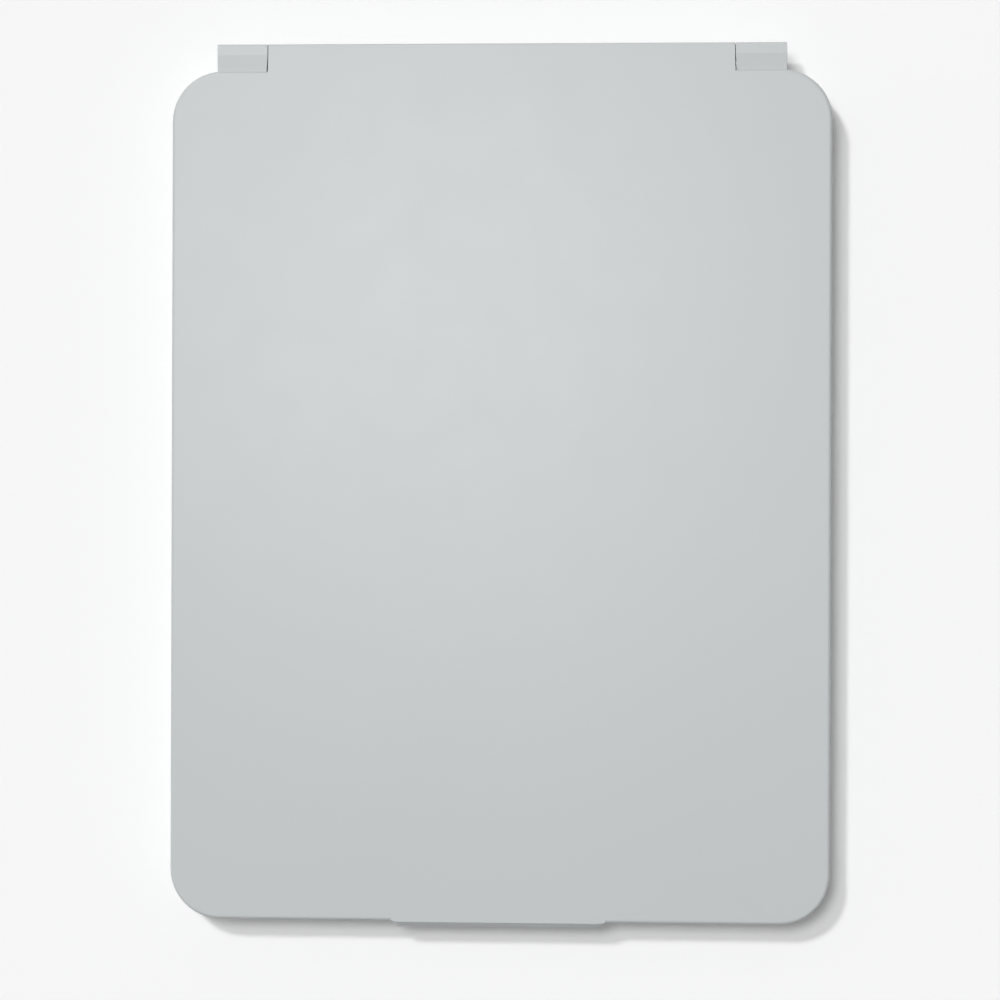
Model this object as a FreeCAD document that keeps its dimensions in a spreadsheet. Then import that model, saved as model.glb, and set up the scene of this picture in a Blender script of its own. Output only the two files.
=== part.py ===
# Lighted travel mirror: a slim lit mirror whose hinged cover folds behind it as a stand.
# X runs to the right, Y towards the hinge and Z up through the closed cover.
# The origin lies on the surface under the middle of the closed case. Millimetres and degrees.
import FreeCAD
import Part
import Sketcher
import os
from math import cos, pi, sin

SIZES = {
    # closed case
    "case_width": "170.0",
    "case_length": "218.55",
    "corner_radius": "12.9",
    "base_inset": "0.8",
    "foot_height": "0.5",
    "housing_height": "6.5",
    "bezel_height": "3.2",
    "cover_gap": "0.2",
    "cover_height": "3.4",
    # hinge
    "axis_offset": "3.85",
    "barrel_radius": "3.1",
    "barrel_edge_radius": "0.6",
    "knuckle_lap": "1.2",
    "knuckle_flare": "0.1",
    "lug_inset": "11.7",
    "lug_width": "13.0",
    "lug_gap": "0.2",
    "lug_flat": "2.8",
    "lug_relief": "0.4",
    "lug_clearance": "0.1",
    "lug_lap": "1.2",
    "lug_end_wall": "0.8",
    "notch_depth": "1.6",
    "notch_gap": "0.4",
    "flange_skin": "0.5",
    "pin_radius": "1.0",
    "pin_grip": "12.0",
    "pin_fit": "0.01",
    "pin_end_gap": "0.3",
    "running_fit": "0.05",
    "sleeve_wall": "0.55",
    "sleeve_slot": "0.6",
    # cover
    "cover_edge_radius": "0.8",
    "cover_rim": "6.5",
    "cover_skin": "1.3",
    "liner_thickness": "0.9",
    "liner_clearance": "0.15",
    "lip_width": "52.0",
    "lip_reach": "1.45",
    "lip_top_reach": "0.25",
    "lip_drop": "1.7",
    "lip_lap": "1.5",
    "lip_flare": "1.6",
    "bumper_length": "8.0",
    "bumper_width": "2.6",
    "bumper_proud": "0.15",
    "bumper_seat": "0.6",
    "bumper_clearance": "0.1",
    "bumper_inset_x": "15.0",
    "bumper_inset_y": "4.2",
    # magnets
    "magnet_length": "20.0",
    "magnet_width": "3.0",
    "magnet_thickness": "1.5",
    "magnet_setback": "24.0",
    "magnet_inset": "4.0",
    "magnet_clearance": "0.1",
    # rear housing
    "wall_thickness": "1.8",
    "floor_thickness": "1.6",
    "housing_edge_radius": "3.0",
    "foot_radius": "5.0",
    "foot_seat": "0.4",
    "foot_edge": "0.3",
    "foot_clearance": "0.1",
    "foot_inset_x": "18.0",
    "foot_inset_y": "20.0",
    "support_width": "2.0",
    "support_length": "12.0",
    "support_inset_x": "6.7",
    "support_inset_y": "18.3",
    "standoff_side": "3.0",
    "standoff_left": "-15.0",
    "standoff_right": "35.0",
    # front bezel
    "bezel_wall": "1.6",
    "bezel_plate": "1.4",
    "bezel_edge": "0.4",
    "side_rim": "4.5",
    "chin": "22.0",
    "forehead": "10.0",
    "window_corner": "7.6",
    # screws
    "screw_inset_x": "22.2",
    "screw_inset_y": "6.0",
    "screw_radius": "0.95",
    "screw_length": "5.0",
    "screw_head_radius": "1.8",
    "screw_head_height": "0.8",
    "screw_fit": "0.02",
    "screw_clearance": "0.15",
    "post_radius": "2.3",
    # light and mirror
    "window_clearance": "0.1",
    "diffuser_recess": "0.2",
    "diffuser_band": "9.0",
    "diffuser_lap": "1.0",
    "diffuser_flange": "0.8",
    "mirror_corner": "3.0",
    "mirror_clearance": "0.15",
    "mirror_thickness": "2.0",
    "mirror_bevel": "0.5",
    "tape_thickness": "0.3",
    "tape_band": "8.0",
    "carrier_depth": "2.8",
    "carrier_plate": "1.0",
    "carrier_rim": "1.2",
    "carrier_rib": "1.2",
    "plateau_inset": "2.0",
    "led_board_width": "5.0",
    "led_board_thickness": "0.8",
    "led_board_gap": "0.6",
    "led_board_trim": "2.5",
    "led_length": "3.0",
    "led_width": "1.4",
    "led_height": "0.7",
    "ribbon_width": "8.0",
    "ribbon_thickness": "0.2",
    "ribbon_x": "-12.0",
    "ribbon_grip": "1.0",
    "ribbon_overlap": "4.0",
    "ribbon_clearance": "0.2",
    # battery
    "battery_width": "60.0",
    "battery_length": "45.0",
    "battery_thickness": "4.0",
    "battery_edge_radius": "1.2",
    "battery_setback": "36.0",
    "battery_tape_thickness": "0.25",
    "battery_tape_margin": "6.0",
    "lead_radius": "0.45",
    "lead_spacing": "2.0",
    "socket_width": "6.0",
    "socket_length": "3.0",
    "socket_height": "1.4",
    # control board
    "board_left": "-24.0",
    "board_wall_gap": "3.2",
    "board_setback": "2.8",
    "board_length": "17.9",
    "board_thickness": "1.0",
    "board_height": "1.5",
    "board_clearance": "0.2",
    "board_cutoff_x": "10.0",
    "board_cutoff_y": "6.0",
    "chip_side": "4.0",
    "chip_height": "0.9",
    "charger_x": "54.0",
    "driver_x": "36.0",
    "coil_x": "22.0",
    "coil_side": "4.6",
    "coil_height": "1.2",
    "capacitor_length": "1.8",
    "capacitor_width": "0.9",
    "capacitor_spacing": "4.0",
    "capacitor_x": "-20.0",
    # charging socket
    "usb_width": "8.94",
    "usb_height": "3.26",
    "usb_corner": "1.5",
    "usb_depth": "7.3",
    "usb_skin": "0.3",
    "usb_recess": "0.5",
    "usb_setback": "16.5",
    "usb_clearance": "0.15",
    "tongue_width": "6.7",
    "tongue_thickness": "0.7",
    "tongue_length": "4.5",
    # charge light
    "pipe_radius": "0.7",
    "pipe_length": "6.0",
    "pipe_offset": "5.6",
    "pipe_clearance": "0.05",
    # power button
    "button_radius": "4.5",
    "button_clearance": "0.1",
    "button_flange": "0.8",
    "button_flange_lap": "1.0",
    "button_flange_gap": "0.05",
    "button_stem_radius": "1.6",
    "button_edge": "0.25",
    "button_dish_radius": "3.4",
    "button_dish_depth": "0.15",
    "button_travel": "0.3",
    "switch_side": "5.2",
    "switch_height": "1.6",
    "plunger_radius": "1.2",
    "plunger_rise": "0.7",
    "plunger_seat": "0.6",
    "plunger_fit": "0.1",
}

PLACES = {
    # the case lies off the middle because the hinge reaches out further than the lip
    "case_middle": "(Sizes.lip_reach - Sizes.axis_offset - Sizes.barrel_radius) / 2",
    "hinge_edge": "Sizes.case_length / 2",
    "axis_reach": "hinge_edge + Sizes.axis_offset",
    "axis_y": "case_middle + axis_reach",
    # levels through the closed case
    "floor_top": "Sizes.foot_height + Sizes.floor_thickness",
    "split_level": "Sizes.foot_height + Sizes.housing_height",
    "base_top": "split_level + Sizes.bezel_height",
    "cover_bottom": "base_top + Sizes.cover_gap",
    "cover_top": "cover_bottom + Sizes.cover_height",
    "axis_z": "cover_top - Sizes.barrel_radius",
    "plate_underside": "base_top - Sizes.bezel_plate",
    "diffuser_top": "base_top - Sizes.diffuser_recess",
    "diffuser_bottom": "plate_underside - Sizes.diffuser_flange",
    "mirror_bottom": "diffuser_top - Sizes.mirror_thickness",
    "plateau_top": "mirror_bottom - Sizes.tape_thickness",
    "carrier_bottom": "plateau_top - Sizes.carrier_depth",
    "led_board_level": "carrier_bottom + Sizes.carrier_plate",
    "led_level": "led_board_level + Sizes.led_board_thickness",
    "battery_level": "floor_top + Sizes.battery_tape_thickness",
    "board_level": "floor_top + Sizes.board_height",
    "board_top": "board_level + Sizes.board_thickness",
    # outlines
    "base_width": "Sizes.case_width - 2 * Sizes.base_inset",
    "base_length": "Sizes.case_length - 2 * Sizes.base_inset",
    "base_corner": "Sizes.corner_radius - Sizes.base_inset",
    "base_edge": "base_length / 2",
    "window_width": "base_width - 2 * Sizes.side_rim",
    "window_length": "base_length - Sizes.chin - Sizes.forehead",
    "window_shift": "(Sizes.forehead - Sizes.chin) / 2",
    "window_middle": "case_middle + window_shift",
    "lit_width": "window_width - 2 * Sizes.diffuser_band",
    "lit_length": "window_length - 2 * Sizes.diffuser_band",
    "mirror_width": "lit_width - 2 * Sizes.mirror_clearance",
    "mirror_length": "lit_length - 2 * Sizes.mirror_clearance",
    "carrier_width": "window_width + 2 * Sizes.diffuser_lap",
    "carrier_length": "window_length + 2 * Sizes.diffuser_lap",
    "carrier_corner": "Sizes.window_corner + Sizes.diffuser_lap",
    "plateau_width": "lit_width - 2 * Sizes.plateau_inset",
    "plateau_length": "lit_length - 2 * Sizes.plateau_inset",
    # middle line of the four LED boards
    "led_line_x": "(window_width - Sizes.diffuser_band) / 2",
    "led_line_y": "(window_length - Sizes.diffuser_band) / 2",
    "led_board_short": "2 * led_line_x - Sizes.led_board_width - 2 * Sizes.led_board_gap",
    "led_board_long": "2 * led_line_y + Sizes.led_board_width - 2 * Sizes.led_board_trim",
    "led_edge_y": "window_middle + led_line_y + Sizes.led_board_width / 2",
    "ribbon_rise_y": "led_edge_y + Sizes.ribbon_clearance + Sizes.ribbon_thickness / 2",
    # hinge
    "lug_outer": "Sizes.case_width / 2 - Sizes.lug_inset",
    "lug_inner": "lug_outer - Sizes.lug_width",
    "lug_back": "base_edge + Sizes.lug_clearance",
    "lug_shelf": "cover_top - Sizes.flange_skin - Sizes.lug_clearance",
    "knuckle_half": "lug_inner - Sizes.lug_gap",
    "knuckle_root": "knuckle_half + Sizes.knuckle_flare",
    "barrel_front": "axis_reach + Sizes.barrel_radius",
    "sleeve_bore": "Sizes.pin_radius + Sizes.running_fit",
    "sleeve_radius": "sleeve_bore + Sizes.sleeve_wall",
    "sleeve_length": "Sizes.lug_width - Sizes.lug_end_wall",
    "pin_length": "Sizes.pin_grip + Sizes.lug_gap + sleeve_length - Sizes.pin_end_gap",
    "pin_inner": "knuckle_half - Sizes.pin_grip",
    # fasteners and feet
    "screw_x": "base_width / 2 - Sizes.screw_inset_x",
    "screw_y": "base_edge - Sizes.screw_inset_y",
    "screw_bottom": "Sizes.foot_height + Sizes.screw_clearance",
    "foot_x": "base_width / 2 - Sizes.foot_inset_x",
    "foot_y": "base_edge - Sizes.foot_inset_y",
    "support_x": "carrier_width / 2 - Sizes.support_inset_x",
    "support_y": "carrier_length / 2 - Sizes.support_inset_y",
    "bumper_x": "Sizes.case_width / 2 - Sizes.bumper_inset_x",
    "bumper_y": "hinge_edge - Sizes.bumper_inset_y",
    "magnet_x": "screw_x - Sizes.magnet_setback",
    "magnet_y": "-hinge_edge + Sizes.magnet_inset",
    # chin electronics
    "board_back": "case_middle + base_edge - Sizes.board_setback",
    "board_front": "board_back - Sizes.board_length",
    "board_middle": "board_back - Sizes.board_length / 2",
    "board_right": "base_width / 2 - Sizes.board_wall_gap",
    "board_width": "board_right - Sizes.board_left",
    "chin_middle": "case_middle + base_edge - Sizes.chin / 2",
    "usb_y": "case_middle + base_edge - Sizes.usb_setback",
    "usb_z": "board_level + Sizes.board_thickness / 2",
    "usb_mouth": "base_width / 2 - Sizes.usb_recess",
    "usb_back": "usb_mouth - Sizes.usb_depth",
    "pipe_y": "usb_y + Sizes.pipe_offset",
    "pipe_z": "board_top + Sizes.pipe_radius",
    "battery_back": "case_middle + base_edge - Sizes.battery_setback",
    "lead_z": "board_level - Sizes.socket_height / 2",
    # power button
    "switch_top": "board_top + Sizes.switch_height",
    "plunger_top": "switch_top + Sizes.plunger_rise",
    "button_flange_top": "plate_underside - Sizes.button_flange_gap",
}

# width, length and corner radius of each rounded outline
CASE_OUTLINE = ("Sizes.case_width", "Sizes.case_length", "Sizes.corner_radius")
BASE_OUTLINE = ("Places.base_width", "Places.base_length", "Places.base_corner")
WINDOW_OUTLINE = ("Places.window_width", "Places.window_length", "Sizes.window_corner")
CARRIER_OUTLINE = ("Places.carrier_width", "Places.carrier_length", "Places.carrier_corner")
LIT_OUTLINE = ("Places.lit_width", "Places.lit_length", "Sizes.mirror_corner")
MIRROR_OUTLINE = ("Places.mirror_width", "Places.mirror_length", "Sizes.mirror_corner")
PLATEAU_OUTLINE = ("Places.plateau_width", "Places.plateau_length", "Sizes.mirror_corner")
USB_OUTLINE = ("Sizes.usb_width", "Sizes.usb_height", "Sizes.usb_corner")

LEDS_ACROSS = 15
LEDS_ALONG = 21
CAPACITORS = 4
ALONG_X = (1, 0, 0)
ALONG_Y = (0, 1, 0)
ALONG_Z = (0, 0, 1)
NEAR = 0.001

doc = FreeCAD.newDocument("travel_mirror")
nodes = []


def fill_sheet(name, rows, mark):
    """Writes one row per alias: its name, then its number or its formula."""
    sheet = doc.addObject("Spreadsheet::Sheet", name)
    for row, (alias, text) in enumerate(rows.items(), start=1):
        sheet.set(f"A{row}", alias)
        sheet.set(f"B{row}", mark + text)
        sheet.setAlias(f"B{row}", alias)
    doc.recompute()
    return sheet


def place(piece, x, y, z):
    """Ties a piece's position to the sheets."""
    for axis, formula in (("x", x), ("y", y), ("z", z)):
        piece.setExpression(f"Placement.Base.{axis}", formula)


def keep(piece, label):
    """Makes a piece one of the nodes that are written out."""
    piece.Label = label
    nodes.append(piece)
    return piece


# Sketched bodies


def body_at(label, y, z, x="0"):
    body = doc.addObject("PartDesign::Body", f"{label}_body")
    place(body, x, y, z)
    return keep(body, label)


def origin_plane(body, role):
    return [feature for feature in body.Origin.OriginFeatures if feature.Role == role][0]


def sketch_on(body, role, level="0", shift="0"):
    """A sketch parallel to an origin plane, moved by level along its normal and by shift upwards."""
    sketch = body.newObject("Sketcher::SketchObject", "Sketch")
    sketch.AttachmentSupport = (origin_plane(body, role), [""])
    sketch.MapMode = "FlatFace"
    sketch.setExpression("AttachmentOffset.Base.z", level)
    sketch.setExpression("AttachmentOffset.Base.y", shift)
    return sketch


def drive(sketch, formula, *constraint):
    """Adds one dimension to a sketch and ties it to a formula."""
    index = sketch.addConstraint(Sketcher.Constraint(*constraint))
    name = f"size{index}"
    sketch.renameConstraint(index, name)
    sketch.setExpression(f"Constraints.{name}", formula)


def rounded_outline(sketch, width, length, radius):
    """A rectangle with round corners about the sketch's origin."""
    first = sketch.GeometryCount
    half_width, half_length, corner = 20.0, 30.0, 5.0
    run = half_width - corner
    rise = half_length - corner
    ends = (
        ((-run, -half_length), (run, -half_length)),
        ((half_width, -rise), (half_width, rise)),
        ((run, half_length), (-run, half_length)),
        ((-half_width, rise), (-half_width, -rise)),
    )
    for start, end in ends:
        sketch.addGeometry(Part.LineSegment(FreeCAD.Vector(*start), FreeCAD.Vector(*end)))
    for turn, (side_x, side_y) in enumerate(((1, -1), (1, 1), (-1, 1), (-1, -1))):
        middle = FreeCAD.Vector(side_x * run, side_y * rise)
        circle = Part.Circle(middle, FreeCAD.Vector(0, 0, 1), corner)
        begin = (turn - 1) * pi / 2
        sketch.addGeometry(Part.ArcOfCircle(circle, begin, begin + pi / 2))
    for side in range(4):
        line, arc, after = first + side, first + 4 + side, first + (side + 1) % 4
        sketch.addConstraint(Sketcher.Constraint("Tangent", line, 2, arc, 1))
        sketch.addConstraint(Sketcher.Constraint("Tangent", arc, 2, after, 1))
        sketch.addConstraint(Sketcher.Constraint("Vertical" if side % 2 else "Horizontal", line))
    for arc in range(first + 5, first + 8):
        sketch.addConstraint(Sketcher.Constraint("Equal", first + 4, arc))
    sketch.addConstraint(Sketcher.Constraint("Symmetric", first, 1, first + 2, 1, -1, 1))
    drive(sketch, width, "DistanceX", first + 3, 1, first + 1, 1, 2 * half_width)
    drive(sketch, length, "DistanceY", first, 1, first + 2, 1, 2 * half_length)
    drive(sketch, radius, "Radius", first + 4, corner)


def polygon(sketch, points):
    """A closed outline of straight sides, each corner tied to its two formulas."""
    first = sketch.GeometryCount
    count = len(points)
    angles = [2 * pi * corner / count for corner in range(count)]
    spots = [FreeCAD.Vector(cos(angle), sin(angle)) for angle in angles]
    for corner in range(count):
        sketch.addGeometry(Part.LineSegment(spots[corner], spots[(corner + 1) % count]))
    for corner in range(count):
        after = first + (corner + 1) % count
        sketch.addConstraint(Sketcher.Constraint("Coincident", first + corner, 2, after, 1))
    for corner, (across, up) in enumerate(points):
        drive(sketch, across, "DistanceX", -1, 1, first + corner, 1, spots[corner].x)
        drive(sketch, up, "DistanceY", -1, 1, first + corner, 1, spots[corner].y)


def rectangle(sketch, x, y, width, length):
    left, right = f"{x} - ({width}) / 2", f"{x} + ({width}) / 2"
    low, high = f"{y} - ({length}) / 2", f"{y} + ({length}) / 2"
    polygon(sketch, [(left, low), (right, low), (right, high), (left, high)])


def circle(sketch, x, y, radius):
    ring = Part.Circle(FreeCAD.Vector(1, 1, 0), FreeCAD.Vector(0, 0, 1), 1.0)
    index = sketch.addGeometry(ring)
    drive(sketch, x, "DistanceX", -1, 1, index, 3, 1.0)
    drive(sketch, y, "DistanceY", -1, 1, index, 3, 1.0)
    drive(sketch, radius, "Radius", index, 1.0)


def pad(body, sketch, height):
    """Adds material from the sketch along its normal."""
    feature = body.newObject("PartDesign::Pad", "Pad")
    feature.Profile = sketch
    feature.setExpression("Length", height)
    return feature


def pocket(body, sketch, height):
    """Removes material from the sketch along its normal."""
    feature = body.newObject("PartDesign::Pocket", "Pocket")
    feature.Profile = sketch
    feature.Reversed = True
    feature.setExpression("Length", height)
    return feature


def mirrored(body, features):
    """Repeats features on the other side of the middle plane."""
    feature = body.newObject("PartDesign::Mirrored", "Mirrored")
    feature.Originals = features
    feature.MirrorPlane = (origin_plane(body, "YZ_Plane"), [""])
    body.Tip = feature
    return feature


def dress_edges(body, kind, prop, size, chosen):
    """Rounds or bevels the edges of the body's last feature whose box is chosen."""
    doc.recompute()
    base = body.Tip
    edges = enumerate(base.Shape.Edges, start=1)
    names = [f"Edge{number}" for number, edge in edges if chosen(edge.BoundBox)]
    feature = body.newObject(f"PartDesign::{kind}", kind)
    feature.Base = (base, names)
    feature.setExpression(prop, size)
    return feature


def lies_at(level):
    """Chooses the edges that lie flat at one level."""
    return lambda box: abs(box.ZMin - level) < NEAR and abs(box.ZMax - level) < NEAR


def four_corners(x, y):
    return [(f"{a} * {x}", f"{b} * {y}") for a in (-1, 1) for b in (-1, 1)]


# Plain solids


def block(width, length, height, x, y, z):
    """A box whose middle is at x, y and whose underside is at z."""
    box = doc.addObject("Part::Box", "Box")
    box.setExpression("Length", width)
    box.setExpression("Width", length)
    box.setExpression("Height", height)
    place(box, f"{x} - ({width}) / 2", f"{y} - ({length}) / 2", z)
    return box


def rod(radius, length, x, y, z, axis):
    """A cylinder that starts at x, y, z and runs along an axis."""
    cylinder = doc.addObject("Part::Cylinder", "Cylinder")
    cylinder.setExpression("Radius", radius)
    cylinder.setExpression("Height", length)
    turn = FreeCAD.Rotation(FreeCAD.Vector(0, 0, 1), FreeCAD.Vector(*axis))
    cylinder.Placement = FreeCAD.Placement(FreeCAD.Vector(), turn)
    place(cylinder, x, y, z)
    return cylinder


def bevelled_rod(radius, edge, length, x, y, z):
    """An upright cylinder whose lower edge is bevelled."""
    bevel = doc.addObject("Part::Cone", "Cone")
    bevel.setExpression("Radius1", f"{radius} - {edge}")
    bevel.setExpression("Radius2", radius)
    bevel.setExpression("Height", edge)
    place(bevel, x, y, z)
    return joined("MultiFuse", [bevel, rod(radius, f"{length} - {edge}", x, y, f"{z} + {edge}", ALONG_Z)])


def joined(kind, pieces):
    """A compound or a fusion of several pieces."""
    group = doc.addObject(f"Part::{kind}", kind)
    if kind == "Compound":
        group.Links = pieces
    else:
        group.Shapes = pieces
    return group


def cut(base, tools):
    """The base less its tools."""
    feature = doc.addObject("Part::Cut", "Cut")
    feature.Base = base
    feature.Tool = tools[0] if len(tools) == 1 else joined("Compound", tools)
    return feature


def inset(outline, margin):
    """The formulas of an outline that lies inside another by a margin."""
    width, length, radius = outline
    return (f"{width} - 2 * {margin}", f"{length} - 2 * {margin}", f"{radius} - {margin}")


# Mirror half


def rear_housing():
    body = body_at("rear_housing", "Places.case_middle", "Sizes.foot_height")
    outline = sketch_on(body, "XY_Plane")
    rounded_outline(outline, *BASE_OUTLINE)
    pad(body, outline, "Sizes.housing_height")
    dress_edges(body, "Fillet", "Radius", "Sizes.housing_edge_radius", lies_at(0))
    cavity = sketch_on(body, "XY_Plane", "Sizes.floor_thickness")
    rounded_outline(cavity, *inset(BASE_OUTLINE, "Sizes.wall_thickness"))
    pocket(body, cavity, "Sizes.housing_height")

    supports = sketch_on(body, "XY_Plane", "Sizes.floor_thickness", "Places.window_shift")
    for x, y in four_corners("Places.support_x", "Places.support_y"):
        rectangle(supports, x, y, "Sizes.support_width", "Sizes.support_length")
    pad(body, supports, "Places.carrier_bottom - Places.floor_top")
    standoffs = sketch_on(body, "XY_Plane", "Sizes.floor_thickness")
    side = "Sizes.standoff_side"
    for x in ("Sizes.standoff_left", "Sizes.standoff_right"):
        rectangle(standoffs, x, "Places.board_middle - Places.case_middle", side, side)
    pad(body, standoffs, "Sizes.board_height")

    seats = sketch_on(body, "XY_Plane")
    for x, y in four_corners("Places.foot_x", "Places.foot_y"):
        circle(seats, x, y, "Sizes.foot_radius + Sizes.foot_clearance")
    pocket(body, seats, "Sizes.foot_seat")
    heads = sketch_on(body, "XY_Plane")
    shanks = sketch_on(body, "XY_Plane")
    for x, y in four_corners("Places.screw_x", "Places.screw_y"):
        circle(heads, x, y, "Sizes.screw_head_radius + Sizes.screw_clearance")
        circle(shanks, x, y, "Sizes.screw_radius + Sizes.screw_clearance")
    pocket(body, heads, "Sizes.screw_head_height + Sizes.screw_clearance")
    pocket(body, shanks, "Sizes.floor_thickness")

    mouth = sketch_on(body, "YZ_Plane", "Places.usb_back")
    usb_y = "Places.usb_y - Places.case_middle"
    usb_z = "Places.usb_z - Sizes.foot_height"
    mouth.setExpression("AttachmentOffset.Base.x", usb_y)
    mouth.setExpression("AttachmentOffset.Base.y", usb_z)
    rounded_outline(mouth, *inset(USB_OUTLINE, "-Sizes.usb_clearance"))
    pocket(body, mouth, "2 * Sizes.usb_depth")
    window = sketch_on(body, "YZ_Plane", "Places.usb_back")
    pipe_z = "Places.pipe_z - Sizes.foot_height"
    circle(window, "Places.pipe_y - Places.case_middle", pipe_z, "Sizes.pipe_radius + Sizes.pipe_clearance")
    pocket(body, window, "2 * Sizes.usb_depth")


def front_bezel():
    body = body_at("front_bezel", "Places.case_middle", "Places.split_level")
    outline = sketch_on(body, "XY_Plane")
    rounded_outline(outline, *BASE_OUTLINE)
    pad(body, outline, "Sizes.bezel_height")
    top = Sizes.bezel_height
    dress_edges(body, "Chamfer", "Size", "Sizes.bezel_edge", lies_at(top))
    hollow = sketch_on(body, "XY_Plane")
    rounded_outline(hollow, *inset(BASE_OUTLINE, "Sizes.bezel_wall"))
    pocket(body, hollow, "Sizes.bezel_height - Sizes.bezel_plate")
    window = sketch_on(body, "XY_Plane", "0", "Places.window_shift")
    rounded_outline(window, *WINDOW_OUTLINE)
    pocket(body, window, "2 * Sizes.bezel_height")
    opening = sketch_on(body, "XY_Plane")
    button_y = "Places.chin_middle - Places.case_middle"
    circle(opening, "0", button_y, "Sizes.button_radius + Sizes.button_clearance")
    pocket(body, opening, "2 * Sizes.bezel_height")

    posts = sketch_on(body, "XY_Plane", "Places.floor_top - Places.split_level")
    pilots = sketch_on(body, "XY_Plane", "Places.floor_top - Places.split_level")
    for x, y in four_corners("Places.screw_x", "Places.screw_y"):
        circle(posts, x, y, "Sizes.post_radius")
        circle(pilots, x, y, "Sizes.screw_radius + Sizes.screw_fit")
    pad(body, posts, "Places.plate_underside - Places.floor_top")
    pocket(body, pilots, "Sizes.screw_length")
    hinge_lugs(body)


def hinge_lugs(body):
    """Two flat-topped lugs, each with a web that slopes down and runs under the cover's edge."""
    axis_y = "Places.axis_reach"
    axis_z = "(Places.axis_z - Places.split_level)"
    bottom = f"{axis_z} - Sizes.barrel_radius"
    top = "Places.cover_top - Places.split_level"
    shelf = "Places.lug_shelf - Places.split_level"
    root = "Places.base_edge - Sizes.lug_lap"
    web = sketch_on(body, "YZ_Plane", "Places.lug_inner")
    polygon(
        web,
        [
            ("Places.barrel_front", axis_z),
            ("Places.barrel_front", top),
            ("Places.hinge_edge", top),
            ("Places.hinge_edge", shelf),
            ("Places.lug_back", shelf),
            ("Places.lug_back", "Sizes.bezel_height"),
            (root, "Sizes.bezel_height"),
            (root, bottom),
            (axis_y, bottom),
        ],
    )
    barrel = sketch_on(body, "YZ_Plane", "Places.lug_inner")
    circle(barrel, axis_y, axis_z, "Sizes.barrel_radius")
    mirrored(body, [pad(body, web, "Sizes.lug_width"), pad(body, barrel, "Sizes.lug_width")])
    level = Places.cover_top - Places.split_level
    dress_edges(body, "Fillet", "Radius", "Sizes.barrel_edge_radius", front_edge_at(level))

    slope = sketch_on(body, "YZ_Plane", "Places.lug_inner")
    crest = "Places.barrel_front - Sizes.lug_flat"
    polygon(slope, [(crest, top), ("Places.hinge_edge", shelf), ("Places.hinge_edge", top)])
    mirrored(body, [pocket(body, slope, "Sizes.lug_width")])
    relief = sketch_on(body, "XY_Plane", bottom)
    wide = "Places.lug_inner + Sizes.lug_relief"
    back = "Places.lug_back"
    polygon(relief, [("Places.lug_inner", axis_y), ("Places.lug_inner", back), (wide, back)])
    mirrored(body, [pocket(body, relief, "2 * Sizes.barrel_radius")])
    bore = sketch_on(body, "YZ_Plane", "Places.lug_inner")
    circle(bore, axis_y, axis_z, "Places.sleeve_radius + Sizes.pin_fit")
    mirrored(body, [pocket(body, bore, "Places.sleeve_length")])


def front_edge_at(level):
    """Chooses the outer edge of the hinge at one level."""
    front = Places.barrel_front
    flat = lies_at(level)
    return lambda box: flat(box) and box.YMin > front - NEAR


def light_diffuser():
    body = body_at("light_diffuser", "Places.window_middle", "Places.diffuser_bottom")
    flange = sketch_on(body, "XY_Plane")
    rounded_outline(flange, *inset(WINDOW_OUTLINE, "-Sizes.diffuser_lap"))
    pad(body, flange, "Sizes.diffuser_flange")
    face = sketch_on(body, "XY_Plane")
    rounded_outline(face, *inset(WINDOW_OUTLINE, "Sizes.window_clearance"))
    pad(body, face, "Places.diffuser_top - Places.diffuser_bottom")
    opening = sketch_on(body, "XY_Plane")
    rounded_outline(opening, *LIT_OUTLINE)
    pocket(body, opening, "2 * Sizes.bezel_height")


def mirror_glass():
    body = body_at("mirror_glass", "Places.window_middle", "Places.mirror_bottom")
    outline = sketch_on(body, "XY_Plane")
    rounded_outline(outline, *MIRROR_OUTLINE)
    pad(body, outline, "Sizes.mirror_thickness")
    top = Sizes.mirror_thickness
    dress_edges(body, "Chamfer", "Size", "Sizes.mirror_bevel", lies_at(top))


def mirror_tape():
    body = body_at("mirror_tape", "Places.window_middle", "Places.plateau_top")
    outline = sketch_on(body, "XY_Plane")
    rounded_outline(outline, *PLATEAU_OUTLINE)
    band = ("Places.plateau_width - 2 * Sizes.tape_band", "Places.plateau_length - 2 * Sizes.tape_band")
    rounded_outline(outline, *band, "Sizes.mirror_corner")
    pad(body, outline, "Sizes.tape_thickness")


def mirror_carrier():
    """A tray: a raised middle for the glass, a channel for the lights and an outer rim."""
    body = body_at("mirror_carrier", "Places.window_middle", "Places.carrier_bottom")
    outer = sketch_on(body, "XY_Plane")
    rounded_outline(outer, *CARRIER_OUTLINE)
    pad(body, outer, "Sizes.carrier_plate")
    rim = sketch_on(body, "XY_Plane")
    rounded_outline(rim, *CARRIER_OUTLINE)
    rounded_outline(rim, *inset(CARRIER_OUTLINE, "Sizes.carrier_rim"))
    pad(body, rim, "Places.diffuser_bottom - Places.carrier_bottom")
    plateau = sketch_on(body, "XY_Plane")
    rounded_outline(plateau, *PLATEAU_OUTLINE)
    pad(body, plateau, "Sizes.carrier_depth")
    hollow = sketch_on(body, "XY_Plane")
    room = ("Places.plateau_width - 2 * Sizes.carrier_rib", "Places.plateau_length - 2 * Sizes.carrier_rib")
    rounded_outline(hollow, *room, "Sizes.mirror_corner")
    pocket(body, hollow, "Sizes.carrier_depth - Sizes.carrier_plate")
    slot = sketch_on(body, "XY_Plane")
    width = "Sizes.ribbon_width + 2 * Sizes.ribbon_clearance"
    length = "Sizes.ribbon_thickness + 2 * Sizes.ribbon_clearance"
    rectangle(slot, "Sizes.ribbon_x", "Places.ribbon_rise_y - Places.window_middle", width, length)
    pocket(body, slot, "Sizes.carrier_plate")


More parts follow.
